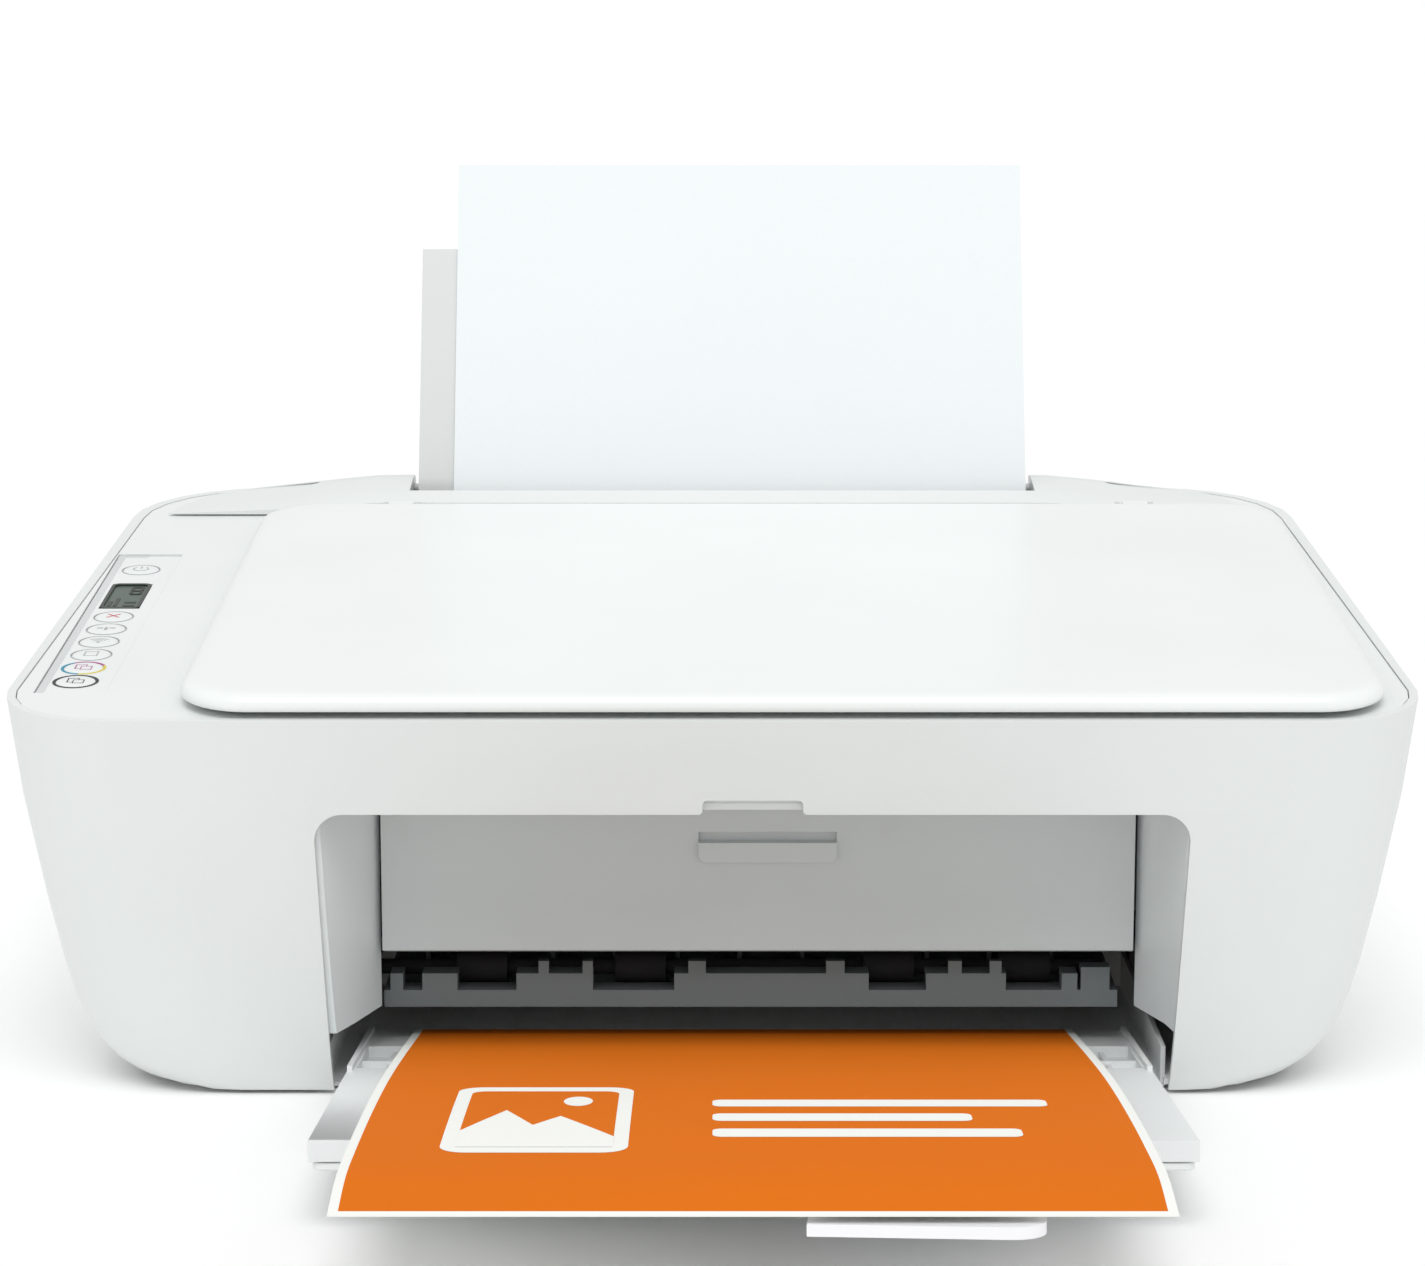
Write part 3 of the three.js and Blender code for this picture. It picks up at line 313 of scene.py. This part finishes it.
def make_knuckles():
    """The lid's two hinge eyes, each a round nose on an arm that runs into the lid."""
    angles = [math.radians(10 * i) for i in range(28)]
    nose = [
        (HINGE_Y + KNUCKLE_RADIUS * math.sin(a), HINGE_Z + KNUCKLE_RADIUS * math.cos(a))
        for a in angles
    ]
    profile = [(KNUCKLE_FRONT, HINGE_Z + 2.4), *nose, (KNUCKLE_FRONT, HINGE_Z - 1.2)]
    bm = bmesh.new()
    for x in HINGE_XS:
        add_skin(bm, [[(x + side, y, z) for y, z in profile] for side in (-KNUCKLE_HALF, KNUCKLE_HALF)])
    knuckles = to_object("lid_knuckles", bm, DECK, "lid")
    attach(round_edges(knuckles, 0.3), "lid")


def make_backing():
    rings = stacked(PAD_PROFILE, PAD_X, PAD_Y, PAD_CORNER, 6)
    pad = to_object("foam_pad", skin(rings), DECK, "foam")
    stands_for(pad, "lid_backing")


# ---------------------------------------------------------------- control panel
PANEL_X = -195.8  # middle of the buttons and the display
PANEL_TOP = -0.9  # the bezel's face, from the deck's
FIRST_BUTTON_Y, BUTTON_PITCH, POWER_Y = 44, 15, 179.5
BUTTON_ROW = ("black_copy", "colour_copy", "resume", "wireless", "information", "cancel")
BUTTON_YS = {name: FIRST_BUTTON_Y + i * BUTTON_PITCH for i, name in enumerate(BUTTON_ROW)}
BUTTON_YS["power"] = POWER_Y
BUTTON_RADIUS = 6.2
CAP_TOP = PANEL_TOP + 0.42
MARK = (CAP_TOP - 0.3, CAP_TOP + 0.05)  # heights of the underside and the top of a mark on a cap
# radius and height of a cap, from the foot of its stem to the middle of its crown
CAP_PROFILE = [
    (2, -6), (2, -4.05), (6.0, -4), (BUTTON_RADIUS, -3.8), (BUTTON_RADIUS, -1.2),
    (6.05, -0.9), (5.6, -0.68), (4.6, -0.55), (3.2, -0.49), (1.5, CAP_TOP),
]


def make_buttons():
    angles = [math.tau * i / 48 for i in range(48)]
    for name, y in BUTTON_YS.items():
        node = name + "_button"
        rings = [
            [(PANEL_X + r * math.cos(a), y + r * math.sin(a), z) for a in angles]
            for r, z in CAP_PROFILE
        ]
        stands_for(to_object(name + "_cap", skin(rings), DECK, slot_of[node]), node)


def panel_marks(name, shapes, look, high=PANEL_TOP + 0.12):
    plates(name, shapes, PANEL_TOP - 0.4, high, look, "chassis")


def cap_marks(name, button, shapes, look):
    """Marks on a button's cap, drawn round its centre."""
    y = BUTTON_YS[button]
    moved = [[(PANEL_X + px, y + py) for px, py in shape] for shape in shapes]
    plates(name, moved, *MARK, look, button + "_button")


def ring(button, inner, outer, start, end):
    return arc_strip((PANEL_X, BUTTON_YS[button]), inner, outer, start, end)


def make_panel():
    halves = ((0, 180), (180, 360))
    black = [ring("black_copy", BUTTON_RADIUS, 7.1, *half) for half in halves]
    panel_marks("black_copy_ring", black, "ink_black")
    for colour, start, end in (("cyan", 125, 265), ("magenta", 25, 125), ("yellow", -95, 25)):
        arc = ring("colour_copy", BUTTON_RADIUS, 7.0, start, end)
        panel_marks("colour_ring_" + colour, [arc], "ink_" + colour)
    for button in ("resume", "wireless", "information", "cancel", "power"):
        thin = [ring(button, 6.25, 6.6, *half) for half in halves]
        panel_marks(button + "_ring", thin, "ink_grey")
    back_sheet = [
        bar(-2.6, -2.2, -2, 2.4), bar(-2.6, 1, 2.1, 2.4), bar(0.7, 1, 0.8, 2.4),
        bar(-2.6, -1, -2, -1.7),
    ]
    front_sheet = [
        bar(-0.8, 2.8, 0.5, 0.8), bar(-0.8, -0.5, -2.9, 0.8), bar(2.5, 2.8, -2.9, 0.8),
        bar(-0.8, 2.8, -2.9, -2.6),
    ]
    for button, look in (("black_copy", "ink_black"), ("colour_copy", "ink_magenta")):
        cap_marks(button + "_mark", button, back_sheet + front_sheet, look)
    page = [
        bar(-2.2, -1.8, -2.4, 2.4), bar(1.8, 2.2, -2.4, 2.4), bar(-2.2, 2.2, 2.1, 2.4),
        bar(-2.2, 2.2, -2.4, -2.1),
    ]
    waves = [arc_strip((0, -1.8), r, r + 0.45, 45, 135, 12) for r in (1.3, 2.6, 3.9)]
    waves.append(arc_strip((0, -1.8), 0.05, 0.6, 0, 350, 12))
    letter = [bar(-3, -1, -0.5, 0.5), bar(-0.5, 0.5, -2.4, 1), bar(1, 3, -0.5, 0.5)]
    cross = [slanted(2.8, 0.35, 45), slanted(2.8, 0.35, -45)]
    switch = [arc_strip((0, 0), 2.3, 2.75, -230, 50, 24), bar(-0.25, 0.25, 0.4, 3.1)]
    cap_marks("resume_mark", "resume", page, "ink_grey")
    cap_marks("wireless_mark", "wireless", waves, "ink_grey")
    cap_marks("information_mark", "information", letter, "ink_grey")
    cap_marks("cancel_mark", "cancel", cross, "ink_red")
    cap_marks("power_mark", "power", switch, "ink_grey")


def frame_ring(outer, inner):
    """Two C-shaped halves that together frame a window, each edge given as an outline's measures."""
    outside, inside = outline(*outer), outline(*inner)
    half = len(outside) // 2
    parts = []
    for a, b in ((0, half), (half, 2 * half)):
        out = [outside[i % len(outside)] for i in range(a, b + 1)]
        back = [inside[i % len(inside)] for i in range(b, a - 1, -1)]
        parts.append(out + back)
    return parts


WINDOW_X, WINDOW_Y, WINDOW_CORNER = (PANEL_X - 6.7, PANEL_X + 6.7), (129.5, 161.5), 2.4
WINDOW_PROFILE = [(0.3, -4), (0.3, -1.5), (0.5, -1.3), (0.9, -1.24), (2, -1.22)]  # inset and height
DIGIT_X, DIGIT_Y = PANEL_X + 2.6, WINDOW_Y[1] - 8.5
DIGIT_HALF_WIDTH, DIGIT_HALF_HEIGHT, SEGMENT_HALF = 1.6, 4.2, 0.5


def seven_segments():
    """All seven bars of a digit, drawn as an 8."""
    w, h, t = DIGIT_HALF_WIDTH, DIGIT_HALF_HEIGHT, SEGMENT_HALF
    flat = [bar(DIGIT_X - w, DIGIT_X + w, DIGIT_Y + y - t, DIGIT_Y + y + t) for y in (h, 0, -h)]
    upright = [
        bar(DIGIT_X + x - t, DIGIT_X + x + t, DIGIT_Y + low, DIGIT_Y + high)
        for x in (-w, w)
        for low, high in ((-h, -t), (t, h))
    ]
    return flat + upright


def make_display():
    (x0, x1), (y0, y1) = WINDOW_X, WINDOW_Y
    rings = stacked(WINDOW_PROFILE, WINDOW_X, WINDOW_Y, WINDOW_CORNER, 6)
    stands_for(to_object("display_window", skin(rings), DECK, "display"), "lcd_display")
    outer = (x0 + 0.1, x1 - 0.1, y0 + 0.1, y1 - 0.1, 2.6)
    inner = (x0 + 1.2, x1 - 1.2, y0 + 1.6, y1 - 1.6, 1.8)
    panel_marks("display_border", frame_ring(outer, inner), "display_frame", high=PANEL_TOP + 0.15)
    strokes = ((-4.6, -3.4, 4, 10), (-2.6, -1.4, 4, 14), (0.6, 4.4, 4, 5.4), (0.6, 4.4, 8, 9.4))
    levels = [bar(PANEL_X + left, PANEL_X + right, y0 + low, y0 + high) for left, right, low, high in strokes]
    # painted shade: a pale grey strip along the recess's left edge and across its rear end stands for the
    # shadow on the bezel's step
    step_shade = [bar(-206.05, -203.7, 31, 197.5), bar(-203.7, -196, 196.6, 198.6)]
    panel_marks("panel_step_painted_shade", step_shade, "painted_shade_pale")
    panel_marks("display_digit", seven_segments(), "display_segment", high=-1.05)
    panel_marks("display_levels", levels, "display_frame", high=-1.08)


# ---------------------------------------------------------------- printed page
# distance behind the casing's front edge and height of points on the page, from its rear edge to its front
PAGE_POINTS = [
    (72, 4.7), (40, 10.2), (0, 17.2), (-52, 25.6),
    (-100, 31.8), (-149, 36.6), (-180, 38.4), (-201.6, 36),
]
PAGE_X, PAGE_BORDER = (-95, 115), 2.5
SHEET_COLUMNS, SHEET_ROWS = 8, 90
PRINT_STEP = 3  # length of the flat stretches that follow the page's curve
PRINT_THICKNESS = 0.02
SHAPE_LIFT, GROUND_LIFT, MARK_LIFT = 0.16, 0.22, 0.28  # heights of the three layers of print over the page


def smooth_path(points, steps=16):
    """Centripetal Catmull-Rom curve through points, as (distance along, y, z) rows."""
    pts = [Vector((p[0], p[1])) for p in points]
    pts = [2 * pts[0] - pts[1], *pts, 2 * pts[-1] - pts[-2]]
    curve = []
    for a, b, c, d in zip(pts, pts[1:], pts[2:], pts[3:]):
        t1 = (b - a).length ** 0.5
        t2 = t1 + (c - b).length ** 0.5
        t3 = t2 + (d - c).length ** 0.5
        for i in range(steps + (c == pts[-2])):
            t = t1 + (t2 - t1) * i / steps
            ab, bc, cd = a.lerp(b, t / t1), b.lerp(c, (t - t1) / (t2 - t1)), c.lerp(d, (t - t2) / (t3 - t2))
            curve.append(ab.lerp(bc, t / t2).lerp(bc.lerp(cd, (t - t1) / (t3 - t1)), (t - t1) / (t2 - t1)))
    rows, along = [], 0
    for i, p in enumerate(curve):
        along += (p - curve[i - 1]).length if i else 0
        rows.append((along, p.x, p.y))
    return rows


PAGE_CURVE = smooth_path(PAGE_POINTS)
PAGE_LENGTH = PAGE_CURVE[-1][0]


def on_page(x, along, lift):
    """The point over the page at a distance along it from its rear edge."""
    i = next((k for k in range(1, len(PAGE_CURVE)) if PAGE_CURVE[k][0] >= along), len(PAGE_CURVE) - 1)
    (s0, y0, z0), (s1, y1, z1) = PAGE_CURVE[i - 1], PAGE_CURVE[i]
    share = (along - s0) / (s1 - s0)
    normal = Vector((0, z1 - z0, y0 - y1)).normalized()
    return Vector((x, y0 + share * (y1 - y0), z0 + share * (z1 - z0))) + lift * normal


def page_sheet(name, border, low, high, look):
    """The page without a border of the given width, between two lifts over its curve."""
    x0, x1 = PAGE_X[0] + border, PAGE_X[1] - border
    s0, s1 = border, PAGE_LENGTH - border
    rings = []
    for k in range(SHEET_ROWS + 1):
        s = s0 + (s1 - s0) * k / SHEET_ROWS
        steps = [(x1 - x0) * i / SHEET_COLUMNS for i in range(SHEET_COLUMNS + 1)]
        rings.append([on_page(x0 + d, s, high) for d in steps] + [on_page(x1 - d, s, low) for d in steps])
    return to_object(name, skin(rings), CASE, look)


def page_print(name, shapes, lift, look):
    """Flat printed shapes, drawn as (x, distance along) and laid on the page's curve."""
    bm = bmesh.new()
    for shape in shapes:
        bm.faces.new([bm.verts.new((x, s, 0)) for x, s in shape])
    for k in range(1, int(PAGE_LENGTH / PRINT_STEP)):
        everything = bm.verts[:] + bm.edges[:] + bm.faces[:]
        bmesh.ops.bisect_plane(bm, geom=everything, plane_co=(0, PRINT_STEP * k, 0), plane_no=(0, 1, 0))
    for v in bm.verts:
        v.co = on_page(v.co.x, v.co.y, lift)
    piece = to_object(name, bm, CASE, look)
    piece.data.shade_flat()
    piece.modifiers.new("ink", "SOLIDIFY").thickness = PRINT_THICKNESS * MM
    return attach(piece, "output_tray")


def make_page():
    stands_for(page_sheet("page_paper", 0, -0.25, 0.05, "border"), "printed_page")
    print_area = page_sheet("page_ink", PAGE_BORDER, 0.02, 0.1, "print")
    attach(print_area, "output_tray")
    print_area.visible_diffuse = False  # the print doesn't tint what stands round it
    picture = outline(-71, -22, 142, 230, 7)
    sky = outline(-67, -26, 149, 223, 4)
    lines = [outline(0, end, start, start + 10, 2.5, 4) for end, start in ((92, 162), (70, 182), (82, 202))]
    turns = [math.tau * i / 24 for i in range(24)]
    sun = [(-37 + 4 * math.cos(turn), 165 + 7 * math.sin(turn)) for turn in turns]
    hills = [(-67, 224), (-67, 205), (-56, 178), (-48, 198), (-41, 186), (-26, 212), (-26, 224)]
    page_print("page_picture", [picture], SHAPE_LIFT, "border")
    page_print("page_lines", lines, SHAPE_LIFT, "border")
    page_print("page_picture_ground", [sky], GROUND_LIFT, "print")
    page_print("page_picture_marks", [sun, hills], MARK_LIFT, "border")


# ---------------------------------------------------------------- stage
CAMERA_LENS, CAMERA_SENSOR = 93.47, 36
CAMERA_PLACE, CAMERA_TILT = at(0, -1073.7, 335.5), math.radians(80)
FLOOR_SIZE = 400  # metres, so that its far edge lies at the horizon
WORLD_STRENGTH, SUN_STRENGTH = 0.7, 1.2
SUN_WIDTH, SUN_TILT = math.radians(38), math.radians(27)


def make_stage():
    camera = bpy.data.objects.new("camera", bpy.data.cameras.new("camera"))
    camera.data.sensor_width = CAMERA_SENSOR
    camera.data.lens = CAMERA_LENS
    camera.location = CAMERA_PLACE
    camera.rotation_euler = (CAMERA_TILT, 0, 0)
    bpy.context.scene.collection.objects.link(camera)
    bpy.context.scene.camera = camera
    bpy.context.scene.view_settings.view_transform = "Standard"
    bpy.ops.mesh.primitive_plane_add(size=FLOOR_SIZE, location=(0, 0, 0))
    floor = bpy.context.object
    floor.name = "floor"
    floor.data.materials.append(LOOKS["floor"])
    world = bpy.data.worlds.new("world")
    bpy.context.scene.world = world
    world.use_nodes = True
    background = world.node_tree.nodes["Background"]
    background.inputs["Color"].default_value = (1, 1, 1, 1)
    background.inputs["Strength"].default_value = WORLD_STRENGTH
    sun = bpy.data.objects.new("overhead", bpy.data.lights.new("overhead", "SUN"))
    sun.data.energy = SUN_STRENGTH
    sun.data.angle = SUN_WIDTH
    sun.rotation_euler = (SUN_TILT, 0, 0)
    bpy.context.scene.collection.objects.link(sun)


# ---------------------------------------------------------------- assembly
SMALL_EDGE = 0.25  # millimetres

make_stage()
make_lid()
make_backing()
make_buttons()
make_panel()
make_display()
make_page()

refine("outer_case", 1.0, 4)
refine("mouth_surround", 0.8, 3, "throat")
refine("scanner_deck", 0.35)
refine("control_bezel", SMALL_EDGE)
refine("input_shroud", 0.6, 3)
refine("input_tray", 0.8, 3, "support")
refine("cartridge_door", 0.6, 3, "door")
refine("output_tray", 0.5, 3, "tray")
refine("output_tray_cover", 0.7, 3)
refine("tray_extender", 0.9, 4, "extender")
refine("input_sheet", 0.05)
refine("platen", 0.4, 2, "lip")
refine("base_tray", 0.3, 2, "tray")
for node in nodes:
    if not nodes[node].hide_render:
        refine(node, SMALL_EDGE)
